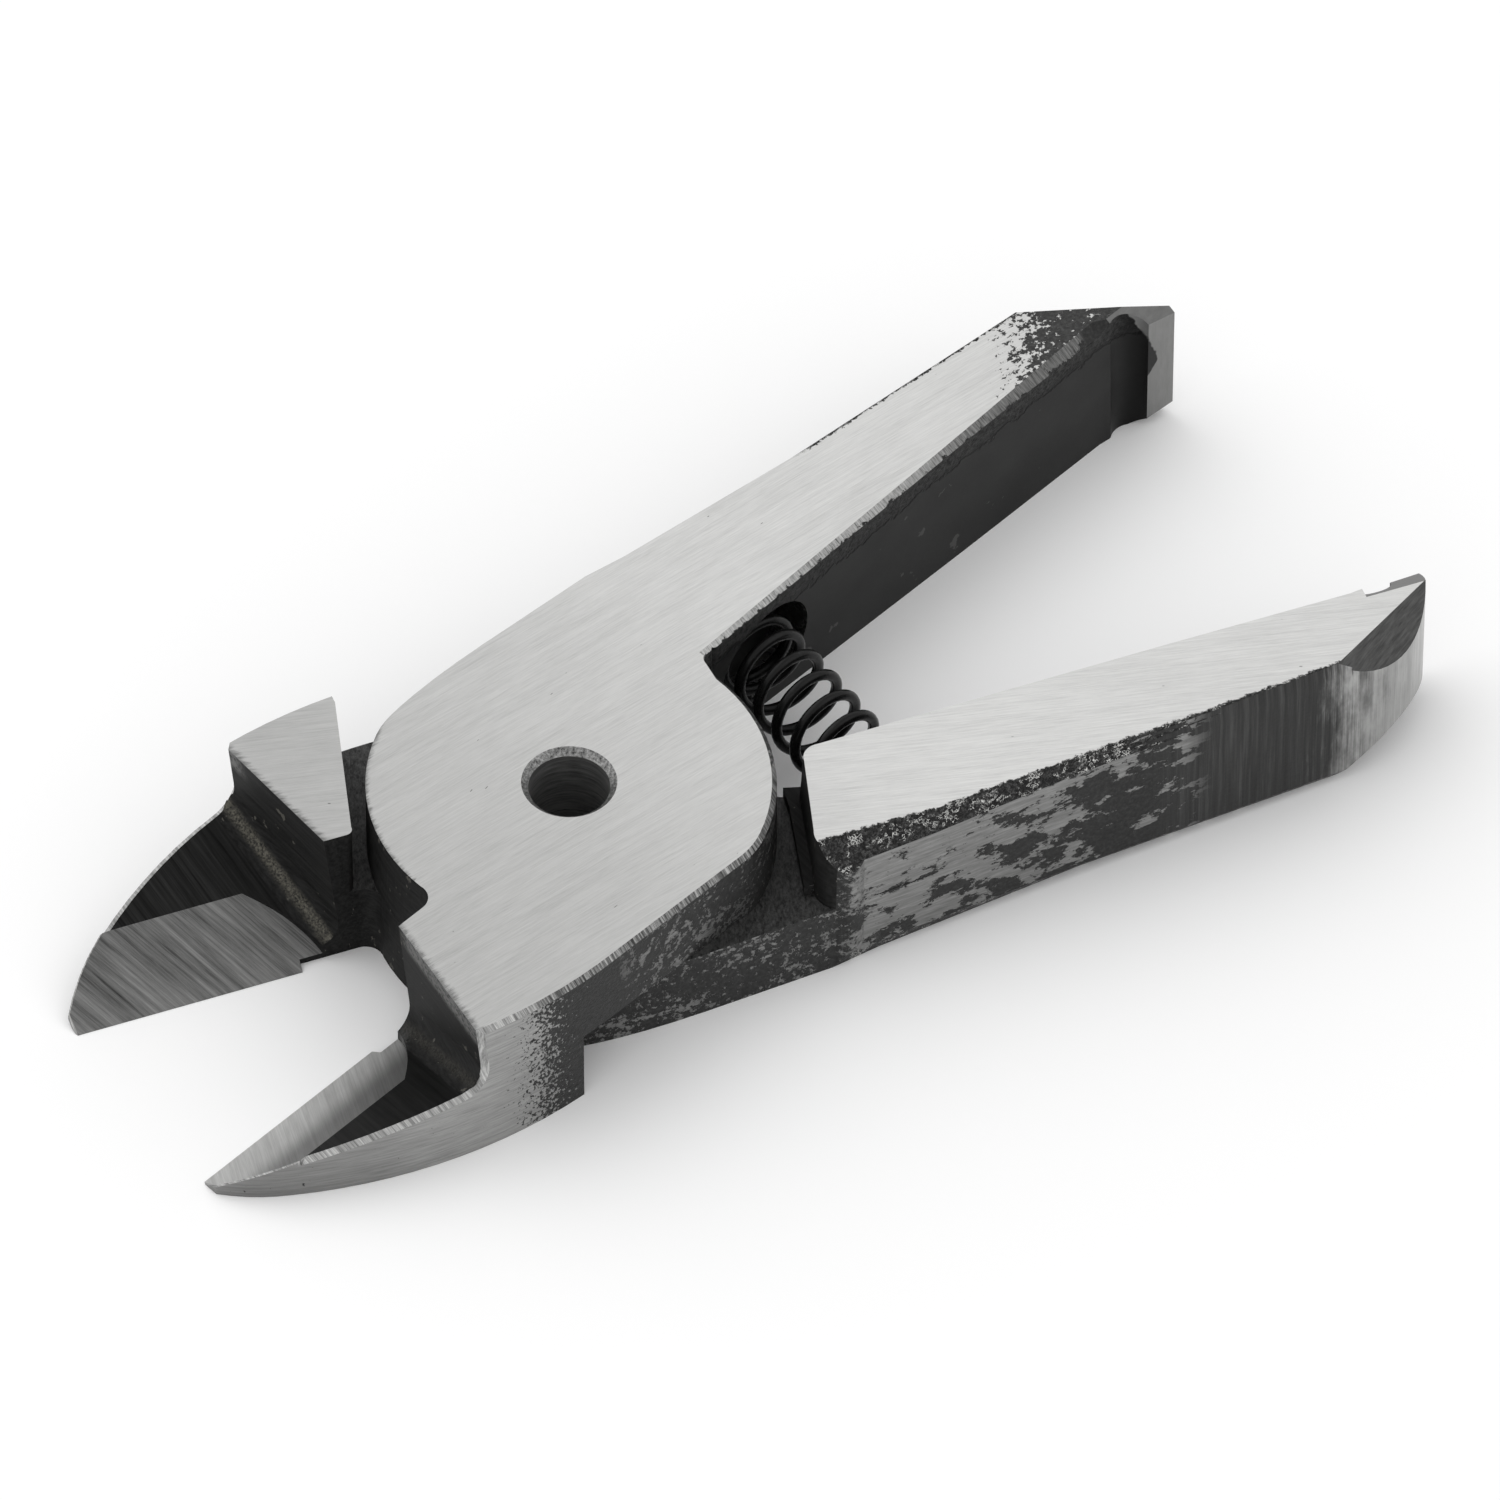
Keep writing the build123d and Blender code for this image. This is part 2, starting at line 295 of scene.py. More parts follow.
def broken_scale(n):
    """Colour, roughness, metallic and relief of coarse scale with bright broken crystals."""
    edge, chance = n.crystals(5.5, offset=3.9)
    fine_edge, fine_chance = n.crystals(11.0, offset=1.2)
    clusters = n.noise((0.9, 0.9, 0.9), detail=4, roughness=0.7, offset=2.6)
    near_edges = n.ramp(n.mix(0.5, edge, fine_edge), 0.17, 0.04)
    spark = n.mul(n.mul(near_edges, n.ramp(clusters, 0.5, 0.6)), n.ramp(chance, 0.4, 0.6))
    dark = n.colour(n.mix(0.5, chance, fine_chance), [(0.25, 0.008), (0.5, 0.022), (0.75, 0.07)])
    colour = n.blend(spark, dark, (0.75, 0.75, 0.73, 1))
    relief = n.mix(0.4, edge, n.noise((6.0, 6.0, 6.0), detail=4, roughness=0.7, offset=3.9))
    return colour, n.mix(spark, 0.5, 0.3), n.mix(spark, 0.4, 1.0), relief


def steel(name, stroke, tone, contrast, rough=(0.3, 0.44), worn=None, depth=0.01, shade=None):
    """Ground or machined steel. `stroke(n)` gives its lines, `worn(n)` is 1 where black scale is left and
    `shade(n)` makes it lighter or darker."""
    n = Nodes(name)
    strokes = stroke(n)
    cloud = n.noise((0.12, 0.15, 0.15), detail=2, offset=1.7)
    tones = [(0.34, tone * (1 - contrast)), (0.5, tone), (0.66, tone * (1 + contrast))]
    colour = n.colour(n.mix(0.15, strokes, cloud), tones)
    if shade is not None:
        colour = n.scaled(colour, shade(n))
    roughness = n.mix(strokes, *rough)
    metallic = 1.0
    normal = n.bump(strokes, depth)
    if worn is not None:
        left = worn(n)
        dark, dark_roughness, relief = scale_skin(n)
        colour = n.blend(left, colour, dark)
        roughness = n.mix(left, roughness, dark_roughness)
        metallic = n.mix(left, 1.0, 0.3)
        normal = n.bump(n.mul(relief, left), 0.06, normal)
    return n.finish(colour, roughness, metallic, normal)


def plain_metal(name, tones, rough, metallic, scale, depth=0.02, turn=0.0):
    """Steel with one even texture between two tones."""
    n = Nodes(name)
    grain = n.noise(scale, detail=4, roughness=0.68, offset=1.4, turn=turn)
    colour = n.colour(grain, [(0.32, tones[0]), (0.68, tones[1])])
    return n.finish(colour, n.mix(grain, *rough), metallic, n.bump(grain, depth))


def end_patch(n):
    """Speckled scale left where one blade's lap face runs out towards the tail."""
    specks = n.noise((2.6, 3.0, 3.0), detail=4, roughness=0.62, offset=8.0)
    reach = n.less(n.x, n.add(n.y, -2.4))
    denser = n.mul(n.ramp(reach, 40.2, 46.0, smooth=False), 0.28)
    field = n.mul(n.ramp(n.add(denser, specks), 0.645, 0.68), n.ramp(reach, 39.6, 41.2))
    return n.mul(field, n.ramp(n.z, -0.1, 0.1))


def edge_band(n, start):
    """Ragged scale along the outer edges of both ground faces, from `start` to the tail."""
    edge_noise = n.noise((2.6, 2.6, 2.6), detail=5, roughness=0.75, offset=2.2)
    lap_edge = n.most(*(n.line(*edge) for edge in LAP_FACE_EDGES))
    far_edge = n.least(FAR_FACE_LIMIT, n.line(*FAR_FACE_EDGE))
    inside = n.less(n.mix(n.ramp(n.z, -0.1, 0.1), far_edge, lap_edge), n.y)
    ragged = n.less(inside, n.mul(n.add(edge_noise, -0.4), 1.1))
    return n.mul(n.ramp(ragged, 0.04, -0.04), n.ramp(n.x, start, start + 1.5))


def edge_distance(n):
    """How far a point of a ground face is inside its brushed-over edges, the shoulder's and the disc's."""
    slope, offset = SHOULDER_EDGE
    squareness = 0.955        # turns the distance along X into the one square to the edge
    from_shoulder = n.mul(n.add(n.add(n.x, -offset), n.mul(n.y, -slope)), squareness)
    from_pivot = n.math("SQRT", n.add(n.mul(n.x, n.x), n.mul(n.y, n.y)))
    from_rim = n.mul(n.less(DISC_RADIUS, from_pivot), 1.5)
    off_disc = n.most(n.ramp(n.z, 0.1, -0.1), n.most(n.ramp(n.y, 1.2, 0.4), n.ramp(n.x, -3.0, 1.0)))
    out_of_reach = 200.0      # so that the disc's edge counts only on the disc
    return n.least(from_shoulder, n.add(from_rim, n.mul(off_disc, out_of_reach)))


def ground_metal(name, brush, band_start, worn_end, dull, bright):
    """Ground face: fine brush lines at `brush` degrees, `dull` at the jaw and `bright` at the tail,
    painted shade feathered along its brushed-over edges, with scale at the edge from `band_start`."""
    n = Nodes(name)
    fine = n.noise((0.4, 11.0, 11.0), detail=5, roughness=0.8, turn=brush)
    coarse = n.noise((0.1, 2.0, 2.0), detail=3, roughness=0.6, turn=brush, offset=3.1)
    cloud = n.noise((0.1, 0.14, 0.14), detail=2, offset=1.7)
    lines = n.mix(0.3, fine, n.mix(0.4, coarse, cloud))
    nicks = n.ramp(n.noise((1.2, 4.0, 4.0), detail=1, turn=brush + 8, offset=9.1), 0.8, 0.82)
    tone = n.mix(n.ramp(n.x, -20.0, 28.0), dull, bright)
    colour = n.colour(lines, [(0.34, 0.82), (0.5, 1.0), (0.66, 1.14)])
    colour = n.scaled(colour, n.mul(tone, n.mix(nicks, 1.0, 0.35)))
    feather = n.noise((0.9, 5.0, 5.0), detail=4, roughness=0.7, turn=brush, offset=6.4)
    reach = n.add(edge_distance(n), n.swing(feather, 1.4))
    # Painted shade: a dark, feathered fringe along the shoulder's and the disc's edges, where the face
    # rounds over
    rounded = n.mul(n.ramp(reach, 0.45, -0.1), 0.65)
    colour = n.blend(rounded, colour, (0.04, 0.04, 0.039, 1))
    band = edge_band(n, band_start)
    grain_colour, grain_roughness, grain_metallic, relief = broken_scale(n)
    colour = n.blend(band, colour, grain_colour)
    roughness = n.mix(band, n.mix(fine, 0.3, 0.44), grain_roughness)
    metallic = n.mix(band, n.mix(rounded, 1.0, 0.5), grain_metallic)
    height = n.mul(relief, band)
    if worn_end:
        patch = end_patch(n)
        dark, dark_roughness, skin = scale_skin(n)
        colour = n.blend(patch, colour, n.scaled(dark, 1.5))
        roughness = n.mix(patch, roughness, dark_roughness)
        metallic = n.mix(patch, metallic, 0.3)
        height = n.add(height, n.mul(patch, n.add(skin, -1.2)))
    return n.finish(colour, roughness, metallic, n.bump(height, 0.1, n.bump(fine, 0.008)))


def side_metal(name):
    """The outer side: scale with bare flakes, a linished stretch near the tail and a bright rounded end."""
    n = Nodes(name)
    flakes = n.noise((0.32, 0.65, 0.65), detail=10, roughness=0.72, offset=4.4)
    specks = n.noise((2.2, 2.4, 2.4), detail=6, roughness=0.72, offset=6.1)
    groups = n.noise((0.25, 0.35, 0.35), detail=2, offset=0.6)
    streaks = n.noise((5.0, 0.0, 0.12), detail=5, roughness=0.7, offset=2.5)
    cloud = n.noise((0.7, 0.0, 0.25), detail=5, roughness=0.6, offset=7.5)

    # large flakes on the handle, more of them low down and towards the pivot
    likely = n.add(n.mul(n.ramp(n.z, 4.5, -4.5), 0.08), n.mul(n.ramp(n.x, 38.0, 15.0), 0.13))
    on_handle = n.ramp(n.add(n.x, n.swing(specks, 9.0)), 13.4, 14.6)
    on_handle = n.mul(on_handle, n.ramp(n.x, 39.0, 36.0))
    large = n.mul(n.ramp(n.add(flakes, likely), 0.6, 0.612), on_handle)

    # small ones round the disc, none in the mouth
    field = n.add(n.add(specks, n.mul(groups, 0.4)), n.mul(n.ramp(n.x, 8.0, -10.0), 0.04))
    round_disc = n.mul(n.ramp(n.x, 17.0, 13.0), n.ramp(n.x, -10.0, -5.0))
    small = n.mul(n.ramp(field, 0.765, 0.785), round_disc)
    bare = n.most(large, n.mul(small, 0.85))

    dark, dark_roughness, relief = scale_skin(n)
    linished = n.colour(streaks, [(0.3, 0.022), (0.5, 0.036), (0.72, 0.075)])
    dark = n.blend(n.ramp(n.x, 34.0, 36.5), dark, linished)
    brushed = n.noise((0.3, 3.0, 5.0), detail=4, roughness=0.7, offset=1.1)
    flake_tone = n.colour(brushed, [(0.3, 0.18), (0.5, 0.25), (0.7, 0.34)])
    polished = n.ramp(n.add(n.x, n.add(n.swing(cloud, 7.0), n.swing(streaks, 4.0))), 46.0, 50.5)
    end_tone = n.colour(n.mix(0.5, cloud, streaks), [(0.32, 0.24), (0.5, 0.36), (0.68, 0.5)])
    colour = n.blend(polished, n.blend(bare, dark, flake_tone), end_tone)
    metal = n.most(bare, polished)
    height = n.add(n.mul(relief, n.mix(metal, 0.6, 0.1)), n.mul(bare, -0.5))
    roughness = n.mix(metal, dark_roughness, 0.36)
    return n.finish(colour, roughness, n.mix(metal, 0.3, 1.0), n.bump(height, 0.04))


def jaw_side_metal(name):
    """The jaw's outer side: ground lengthwise, speckling into scale towards the disc."""
    def strokes(n):
        return n.noise((0.3, 0.0, 6.0), detail=5, roughness=0.75)

    def worn(n):
        specks = n.noise((4.2, 4.2, 4.2), detail=4, roughness=0.62, offset=7.7)
        pits = n.ramp(n.noise((2.6, 2.6, 2.6), detail=3, offset=0.4), 0.73, 0.75)
        denser = n.mul(n.ramp(n.x, -17.2, -11.2, smooth=False), 0.42)
        return n.most(n.ramp(n.add(denser, specks), 0.7, 0.73), pits)

    def shade(n):
        return n.mix(n.ramp(n.x, -31.0, -18.0), 0.75, 1.15)

    return steel(name, strokes, 0.3, 0.28, worn=worn, depth=0.012, shade=shade)


def grain_metal(name):
    """Coarse granular scale left along the forged edges."""
    n = Nodes(name)
    colour, roughness, metallic, relief = broken_scale(n)
    return n.finish(colour, roughness, metallic, n.bump(relief, 0.14))


def hollow_line(n):
    """How far towards the tail's end a point is from the hollow's rounded outline, where painted shade
    gives way to ground metal.
    """
    above = n.mul(n.add(n.z, -0.9), 0.36)
    below = n.mul(n.add(n.z, -0.3), -0.8)
    wave = n.swing(n.noise((1.1, 1.1, 1.1), detail=2, offset=8.2), 0.5)
    line = n.less(54.0, n.math("SMOOTH_MAX", above, below, 0.6))
    return n.less(n.add(n.x, wave), line)


def wall_metal(name):
    """The handle's inner wall: smooth dark scale, a rough band below the lap face, a few bare patches,
    painted shade darkening it into the hollow, and ground metal beyond the hollow."""
    n = Nodes(name)
    patches = n.noise((0.45, 0.5, 0.45), detail=4, roughness=0.6, offset=2.8)
    mid_wall = n.mul(n.ramp(n.x, 20.0, 24.0), n.ramp(n.x, 46.0, 43.0))
    bare = n.mul(n.ramp(patches, 0.635, 0.655), mid_wall)
    grain = n.noise((3.5, 3.5, 3.5), detail=5, roughness=0.7, offset=5.9)
    wave = n.noise((0.6, 0.6, 0.6), detail=4, roughness=0.6, offset=7.3)
    height = n.add(n.z, n.swing(wave, 1.8))
    band = n.ramp(height, 3.3, 3.7)
    groove = n.mul(n.ramp(height, 3.1, 3.35), n.ramp(height, 3.75, 3.45))
    cloud = n.noise((0.16, 0.2, 0.2), detail=2, offset=0.9)
    smooth_tone = n.colour(n.mix(0.3, cloud, grain), [(0.35, 0.009), (0.65, 0.02)])
    rough_tone = n.colour(grain, [(0.35, 0.005), (0.65, 0.055)])
    colour = n.scaled(n.blend(band, smooth_tone, rough_tone), n.mix(groove, 1.0, 0.4))
    colour = n.blend(bare, colour, (0.06, 0.06, 0.058, 1))
    # Painted shade: the wall darkens to black into the hollow before the pad
    painted_hollow_shade = n.ramp(n.x, 53.3, 51.2)
    colour = n.scaled(colour, painted_hollow_shade)
    ground = n.mul(n.ramp(hollow_line(n), -0.06, 0.06), n.ramp(n.z, 0.9, 1.3))
    colour = n.blend(ground, colour, (0.2, 0.2, 0.197, 1))
    relief = n.add(n.mul(n.mul(grain, band), 0.9), n.mul(groove, -0.5))
    relief = n.mul(relief, n.mix(ground, 1.0, 0.1))
    roughness = n.mix(ground, n.mix(band, 0.5, 0.62), 0.46)
    return n.finish(colour, roughness, n.mix(ground, 0.2, 0.9), n.bump(relief, 0.15))


def pad_metal(name):
    """The ground pad on the tail's inner side, with painted shade where the hollow rounds into it."""
    n = Nodes(name)
    cloud = n.noise((1.2, 2.5, 0.5), detail=4, roughness=0.68, offset=1.4)
    lines = n.noise((5.0, 5.0, 0.3), detail=4, roughness=0.7, offset=3.7)
    colour = n.colour(n.mix(0.4, cloud, lines), [(0.34, 0.2), (0.66, 0.26)])
    # Painted shade: near black where the hollow rounds into the pad
    hollow = n.mul(n.ramp(hollow_line(n), 0.06, -0.06), n.ramp(n.z, -0.9, -0.3))
    colour = n.blend(hollow, colour, (0.012, 0.012, 0.012, 1))
    return n.finish(colour, n.mix(cloud, 0.42, 0.52), n.mix(hollow, 0.9, 0.2), n.bump(lines, 0.008))


def wall_edge_metal(name):
    """Bright chamfer with lines across it, ragged below and running out before the tail's end."""
    def strokes(n):
        return n.noise((5.0, 0.0, 0.6), detail=4, roughness=0.8, turn=12)

    def worn(n):
        ragged = n.noise((1.4, 1.4, 1.4), detail=5, roughness=0.7, offset=4.9)
        width = n.mix(n.ramp(n.x, 13.0, 50.0, smooth=False), 0.32, 0.72)
        down = n.math("DIVIDE", n.less(HALF, n.z), width)
        return n.most(n.ramp(n.add(down, n.mul(ragged, 3.4)), 2.5, 2.6), n.ramp(n.x, 48.6, 49.2))

    def shade(n):
        return n.mix(n.ramp(n.x, 24.0, 44.0), 1.7, 0.65)

    return steel(name, strokes, 0.2, 0.85, worn=worn, depth=0.02, shade=shade)


def shoulder_metal(name, bare_until, root_highlight):
    """Milled shoulder wall and its root: black with flecks, mottled grey at the top up to the Y
    `bare_until`, and a painted highlight along the root, as strong as the last argument."""
    n = Nodes(name)
    flecks = n.ramp(n.noise((1.8, 1.0, 0.8), detail=4, roughness=0.62, offset=6.6), 0.655, 0.68)
    streaks = n.noise((4.0, 0.2, 4.0), detail=4, roughness=0.7, turn=-17, offset=3.3)
    mottle = n.noise((3.0, 3.0, 3.0), detail=5, roughness=0.7, offset=1.9)
    colour = n.colour(streaks, [(0.3, 0.008), (0.7, 0.028)])
    depth = n.less(HALF, n.math("ABSOLUTE", n.z))
    near_top = n.ramp(n.add(depth, n.mul(mottle, 2.0)), 2.9, 2.2)
    top = n.mul(near_top, n.ramp(n.y, bare_until + 1.5, bare_until))
    colour = n.blend(top, colour, n.colour(mottle, [(0.38, 0.035), (0.55, 0.15)]))
    colour = n.blend(n.mul(flecks, 0.6), colour, (0.13, 0.125, 0.11, 1))
    level = n.level()
    # Painted highlight: a speckled warm band along the root fillet between the wall and the back
    root = n.mul(n.ramp(level, 0.42, 0.66), n.ramp(level, 0.86, 0.7))
    speckle = n.ramp(n.noise((7.0, 7.0, 7.0), detail=3, offset=2.7), 0.25, 0.75)
    colour = n.blend(n.mul(n.mul(root, speckle), root_highlight), colour, (0.15, 0.142, 0.118, 1))
    return n.finish(colour, n.mix(streaks, 0.5, 0.62), 0.15, n.bump(streaks, 0.01), specular=0.05)


def rim_metal(name):
    """Narrow finishing chamfer with strong fine lines across it, brighter along the jaw."""
    n = Nodes(name)
    across = n.noise((6.5, 0.0, 0.4), detail=4, roughness=0.85, offset=5.7)
    disc_tone = n.colour(across, [(0.36, 0.03), (0.5, 0.15), (0.64, 0.45)])
    jaw_tone = n.colour(across, [(0.36, 0.17), (0.5, 0.36), (0.64, 0.6)])
    colour = n.blend(n.ramp(n.x, -13.0, -17.0), disc_tone, jaw_tone)
    return n.finish(colour, n.mix(across, 0.3, 0.45), 1.0, n.bump(across, 0.02))


def back_metal(name):
    """The jaw's milled back: black, with slanting cutter marks."""
    def strokes(n):
        return n.noise((0.12, 4.0, 0.0), detail=5, roughness=0.75, turn=71)

    return steel(name, strokes, 0.019, 0.6, rough=(0.36, 0.5))


def bevel_metal(name, across, tone, contrast, shade=None):
    """The ground bevel behind the cutting edge, with slanting wheel marks `across` to the millimetre."""
    slant = 53

    def marks(n):
        fine = n.noise((0.13, across, 0.0), detail=6, roughness=0.8, turn=slant)
        return n.mix(0.3, fine, n.noise((0.1, 0.3 * across, 0.0), detail=3, turn=slant, offset=2.3))

    return steel(name, marks, tone, contrast, depth=0.015, shade=shade)


def coarse_bevel(name):
    return bevel_metal(name, 3.8, 0.155, 0.85)


def fine_bevel(name):
    # Painted shade: the bevel darkens towards the milled back, standing in for how its curved grind catches
    # the light
    def shade(n):
        return n.mix(n.ramp(n.add(n.y, n.mul(n.x, -0.06)), -2.4, -0.2), 0.5, 1.12)

    return bevel_metal(name, 6.0, 0.5, 0.32, shade=shade)


def blade_materials(blade, ground, bevel, shoulder):
    """One material for each kind of surface on a blade. `bevel` makes the bevel's, and `ground` and
    `shoulder` hold the settings of those two."""
    def named(kind):
        return f"{blade}_{kind}"

    return {
        GROUND: ground_metal(named(GROUND), **ground),
        SIDE: side_metal(named(SIDE)),
        GRAIN: grain_metal(named(GRAIN)),
        WALL: wall_metal(named(WALL)),
        WALL_EDGE: wall_edge_metal(named(WALL_EDGE)),
        BACK: back_metal(named(BACK)),
        BEVEL: bevel(named(BEVEL)),
        SHOULDER: shoulder_metal(named(SHOULDER), **shoulder),
        JAW_SIDE: jaw_side_metal(named(JAW_SIDE)),
        RIM: rim_metal(named(RIM)),
        PAD: pad_metal(named(PAD)),
        PAD_SLOPE: plain_metal(named(PAD_SLOPE), (0.13, 0.175), (0.42, 0.52), 0.9, (1.2, 2.5, 1.0), 0.01),
        FACET: plain_metal(named(FACET), (0.05, 0.11), (0.34, 0.5), 0.8, (0.4, 5.0, 5.0), 0.01, turn=-40),
        BORE: plain_metal(named(BORE), (0.09, 0.22), (0.4, 0.55), 0.5, (0.5, 0.5, 6.0), 0.01),
        BORE_EDGE: plain_metal(named(BORE_EDGE), (0.03, 0.42), (0.3, 0.5), 0.9, (5.0, 5.0, 5.0), 0.03),
        LAP: plain_metal(named(LAP), (0.01, 0.085), (0.45, 0.6), 0.4, (3.0, 6.0, 6.0), 0.03, turn=-69),
    }


def spring_black(name):
    """Glossy black finish on the drawn wire, with faint rub marks."""
    n = Nodes(name)
    rub = n.noise((1.2, 2.5, 1.2), detail=5, roughness=0.7, offset=4.2)
    fine = n.noise((7.0, 7.0, 7.0), detail=3, roughness=0.6, offset=0.7)
    colour = n.colour(rub, [(0.35, 0.004), (0.6, 0.008), (0.72, 0.02)])
    roughness = n.mix(n.mix(0.5, rub, fine), 0.16, 0.34)
    return n.finish(colour, roughness, 0.0, n.bump(fine, 0.006), specular=0.18)


# ---------------------------------------------------------------- blade meshes
def surface_kind(centre, normal, up):
    """The kind of surface a face belongs to, from its middle in millimetres and its normal, both in the
    blade's own frame. `up` is +1 or -1: the side that the jaw's milled back faces."""
    x, y, z = centre
    radius = math.hypot(x, y)
    flat = abs(normal.z) > 0.995
    upright = abs(normal.z) < 0.2
    leaning = abs(normal.z) > 0.3
    if flat and abs(z) > 5.0:           # the outer faces
        return GROUND
    if flat and abs(z) < 0.2:           # where the two blades lie on each other
        return LAP
    if flat and abs(z) < 1.2:           # the shallow channel behind the disc
        return SHOULDER
    if radius < BORE_EDGE_RADIUS and upright:
        return BORE
    if radius < BORE_MOUTH_RADIUS:
        return BORE_EDGE
    if x < MOUTH and radius < RIM_RADIUS and upright and normal.y > 0:
        return SHOULDER
    if x < JAW:
        if normal.y < -0.25 and upright:
            return JAW_SIDE
        if abs(normal.x) < 0.05 and normal.y > 0.3 and normal.z * up > 0.3:
            return BEVEL if normal.y > 0.47 else BACK
        if x < TIP:
            return JAW_SIDE
        if normal.z > 0.3 and normal.y < 0:
            return RIM
        return SHOULDER
    if RECESS[0] < x < RECESS[1] and normal.x < -0.5 and radius > RIM_RADIUS:
        return SHOULDER
    if x > FACETS and normal.y > -0.2 and leaning:
        return FACET
    if x > PAD_START and normal.y < -0.5 and upright:
        return PAD
    if x > HOLLOW and leaning:
        return PAD_SLOPE
    if x > HANDLE and (normal.y < -0.3 or (x > HOLLOW_BACK and normal.x < -0.5)):
        return WALL if normal.z < 0.4 else WALL_EDGE
    if x > FORGED and normal.y > 0 and abs(normal.z) > 0.25:
        return GRAIN
    if normal.z > 0.4 and y < RIM_SIDE:
        return RIM
    if x < JAW_ROOT and normal.y < -0.25 and upright:
        return JAW_SIDE
    return SIDE


def strip_edges(bm, kinds, pairs, width):
    """Cuts a narrow finishing chamfer, `width` millimetres each way, between pairs of kinds of surface."""
    chosen = [edge for edge in bm.edges
              if {kinds[face.material_index] for face in edge.link_faces} in pairs
              and edge.calc_face_angle_signed(0) > CORNER_TURN]
    corners = list(dict.fromkeys(corner for edge in chosen for corner in edge.verts))
    bmesh.ops.bevel(bm, geom=chosen + corners, offset=width * MM, offset_type="OFFSET", segments=1,
                    profile=0.5, affect="EDGES", clamp_overlap=False, material=kinds.index(RIM))


def crease(bm, kinds):
    """Keeps flat faces flat and curved ones smooth, by where the shading breaks."""
    flat = {kinds.index(kind)
            for kind in (GROUND, BEVEL, BACK, LAP, PAD, PAD_SLOPE, SHOULDER, WALL_EDGE, RIM)}
    for edge in bm.edges:
        turn = math.degrees(edge.calc_face_angle(0))
        large = [face for face in edge.link_faces if face.calc_area() > LARGE_FACE]
        alike = len({face.material_index for face in edge.link_faces}) == 1
        if any(face.material_index in flat for face in large):
            edge.smooth = turn < FLAT_TURN and len(large) == 2
        else:
            edge.smooth = turn < ROUND_TURN and (alike or not large)


def refined_mesh(node, own_frame, name, materials, up):
    """The CAD node's shape with whole flat faces, worked edges and a material on each face."""
    mesh = bpy.data.meshes.new(name)
    bm = bmesh.new()
    bm.from_mesh(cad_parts[node].data)
    bm.transform(own_frame.inverted())
    bmesh.ops.remove_doubles(bm, verts=bm.verts, dist=WELD)
    bmesh.ops.dissolve_limit(bm, angle_limit=SAME_PLANE, verts=bm.verts, edges=bm.edges)
    kinds = list(materials)
    for face in bm.faces:
        face.smooth = True
        centre = face.calc_center_median() / MM
        face.material_index = kinds.index(surface_kind(centre, face.normal, up))
    strip_edges(bm, kinds, ({BACK, JAW_SIDE}, {SHOULDER, JAW_SIDE}), BACK_CHAMFER)
    strip_edges(bm, kinds, ({BEVEL, JAW_SIDE},), EDGE_CHAMFER)
    bmesh.ops.remove_doubles(bm, verts=bm.verts, dist=CHAMFER_WELD)
    crease(bm, kinds)
    bm.transform(own_frame)
    bm.to_mesh(mesh)
    bm.free()
    for kind in kinds:
        mesh.materials.append(materials[kind])
    return mesh


def add_object(name, data):
    piece = bpy.data.objects.new(name, data)
    bpy.context.scene.collection.objects.link(piece)
    return piece


def add_blade(node, body, own_frame, materials, up):
    name = node + "_steel"
    blade = add_object(name, refined_mesh(node, own_frame, name, materials, up))
    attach(blade, body)
    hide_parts(node)


def spring_mesh(name):
    """The coil: evenly wound, with its last turn at each end closed up."""
    bm = bmesh.new()
    rings = []
    for step in range((SPRING_TURNS + 2) * STEPS_PER_TURN + 1):
        turn = step / STEPS_PER_TURN - 1           # the closed turns lie outside 0 ... SPRING_TURNS
        ends = max(-turn, turn - SPRING_TURNS, 0)
        rise = min(max(turn, 0), SPRING_TURNS) / SPRING_TURNS
        closed = math.copysign(ends * (SPRING_HALF - SPRING_ACTIVE), rise - 0.5)
        along = SPRING_ACTIVE * (2 * rise - 1) + closed
        angle = SPRING_PHASE + 2 * math.pi * (turn - SPRING_TURNS / 2) * SPRING_HAND
        outward = Vector((math.cos(angle), 0, math.sin(angle)))
        centre = Vector((SPRING_X, along, 0)) + outward * COIL_RADIUS
        ring = []
        for corner in range(WIRE_CORNERS):
            around = 2 * math.pi * corner / WIRE_CORNERS
            lengthwise = Vector((0, WIRE_RADIUS * math.sin(around), 0))
            place = centre + outward * WIRE_RADIUS * math.cos(around) + lengthwise
            ring.append(bm.verts.new(place * MM))
        rings.append(ring)
    for ring, after in zip(rings, rings[1:]):
        for a, b, c, d in zip(ring, ring[1:] + ring[:1], after[1:] + after[:1], after):
            bm.faces.new((a, b, c, d)).smooth = True
    bm.faces.new(reversed(rings[0]))
    bm.faces.new(rings[-1])
    bmesh.ops.recalc_face_normals(bm, faces=bm.faces)
    mesh = bpy.data.meshes.new(name)
    bm.to_mesh(mesh)
    bm.free()
    mesh.materials.append(spring_black("spring_black"))
    return mesh


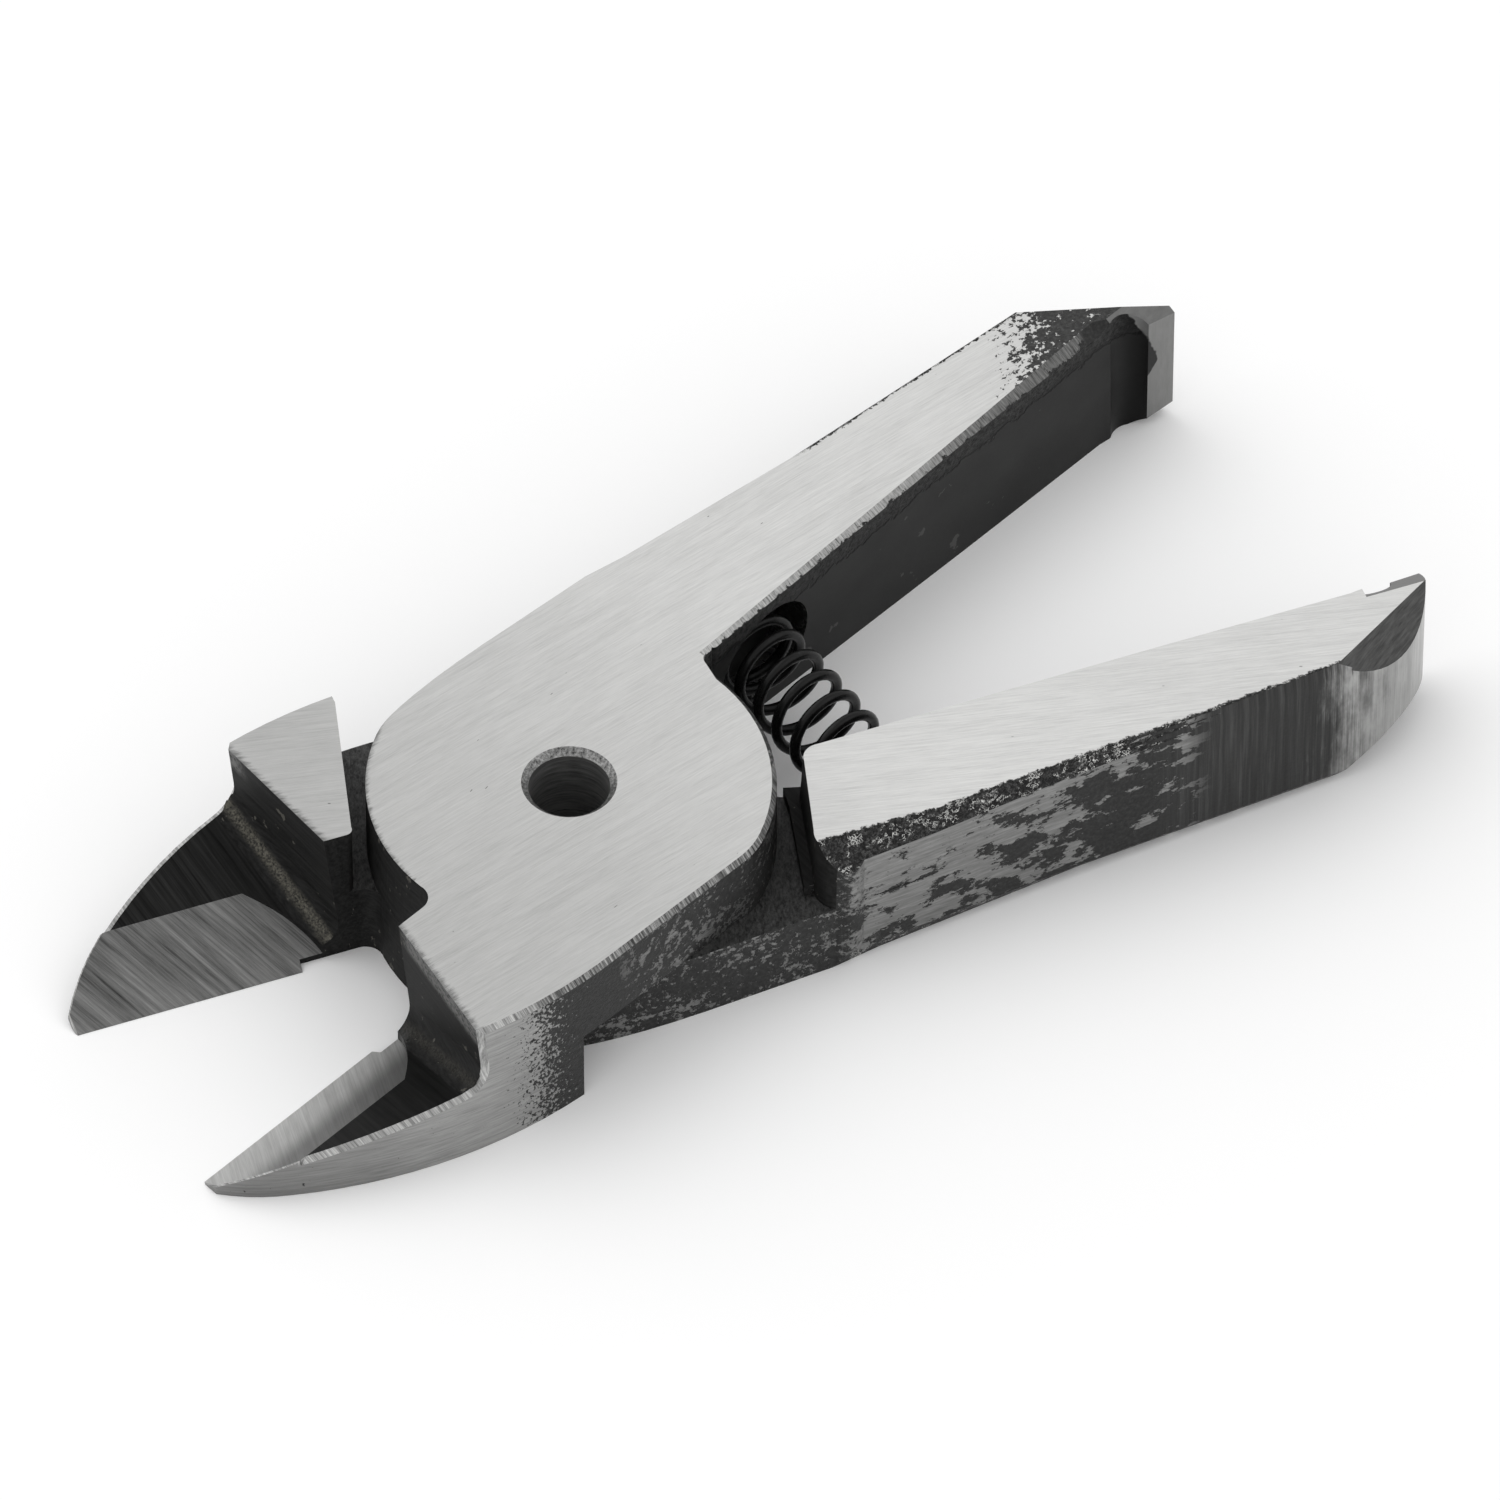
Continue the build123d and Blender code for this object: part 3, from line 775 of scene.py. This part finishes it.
def add_spring():
    spring = add_object("return_spring_wire", spring_mesh("return_spring_wire"))
    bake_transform(spring)
    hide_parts("return_spring")


upper_materials = blade_materials(
    "upper", {"brush": -8, "band_start": 29, "worn_end": True, "dull": 0.475, "bright": 0.655},
    fine_bevel, {"bare_until": -2, "root_highlight": 0.2})
lower_materials = blade_materials(
    "lower", {"brush": 12, "band_start": 11.5, "worn_end": False, "dull": 0.45, "bright": 0.69},
    coarse_bevel, {"bare_until": -9.5, "root_highlight": 0.9})
add_blade("blade_upper", "upper_blade", UPPER, upper_materials, 1)
add_blade("blade_lower", "lower_blade", LOWER, lower_materials, -1)
add_spring()


# ---------------------------------------------------------------- stage
def add_floor():
    bpy.ops.mesh.primitive_plane_add(size=FLOOR_SIZE, location=(0, 0, -(HALF + FLOOR_GAP) * MM))
    floor = bpy.context.object
    floor.name = "floor"
    n = Nodes("floor_white")
    floor.data.materials.append(n.finish((0.97, 0.97, 0.97, 1), 0.9, 0.0, specular=0.0))


def aim(piece, place, target):
    """Puts a lamp or camera at a place, facing a target."""
    piece.location = place
    piece.rotation_euler = (Vector(target) - Vector(place)).to_track_quat("-Z", "Y").to_euler()


def add_light(name, place, size, power):
    light = bpy.data.lights.new(name, "AREA")
    light.shape = "DISK"
    light.size = size
    light.energy = power
    aim(add_object(name, light), place, SCENE_MIDDLE)


def add_camera():
    camera = bpy.data.cameras.new("camera")
    camera.lens = CAMERA_LENS
    camera.sensor_width = 36
    camera.clip_end = 10
    view = add_object("camera", camera)
    aim(view, CAMERA_PLACE, CAMERA_TARGET)
    bpy.context.scene.camera = view


def add_world():
    world = bpy.data.worlds.new("studio")
    world.use_nodes = True
    background = world.node_tree.nodes["Background"]
    background.inputs["Color"].default_value = (1, 1, 1, 1)
    background.inputs["Strength"].default_value = WORLD_STRENGTH
    bpy.context.scene.world = world
    bpy.context.scene.view_settings.view_transform = "Standard"


add_floor()
add_light("key", place=(-0.3, 0.5, 0.7), size=1.2, power=2.4)
add_light("fill", place=(0.5, -0.4, 0.6), size=0.8, power=0.6)
add_camera()
add_world()
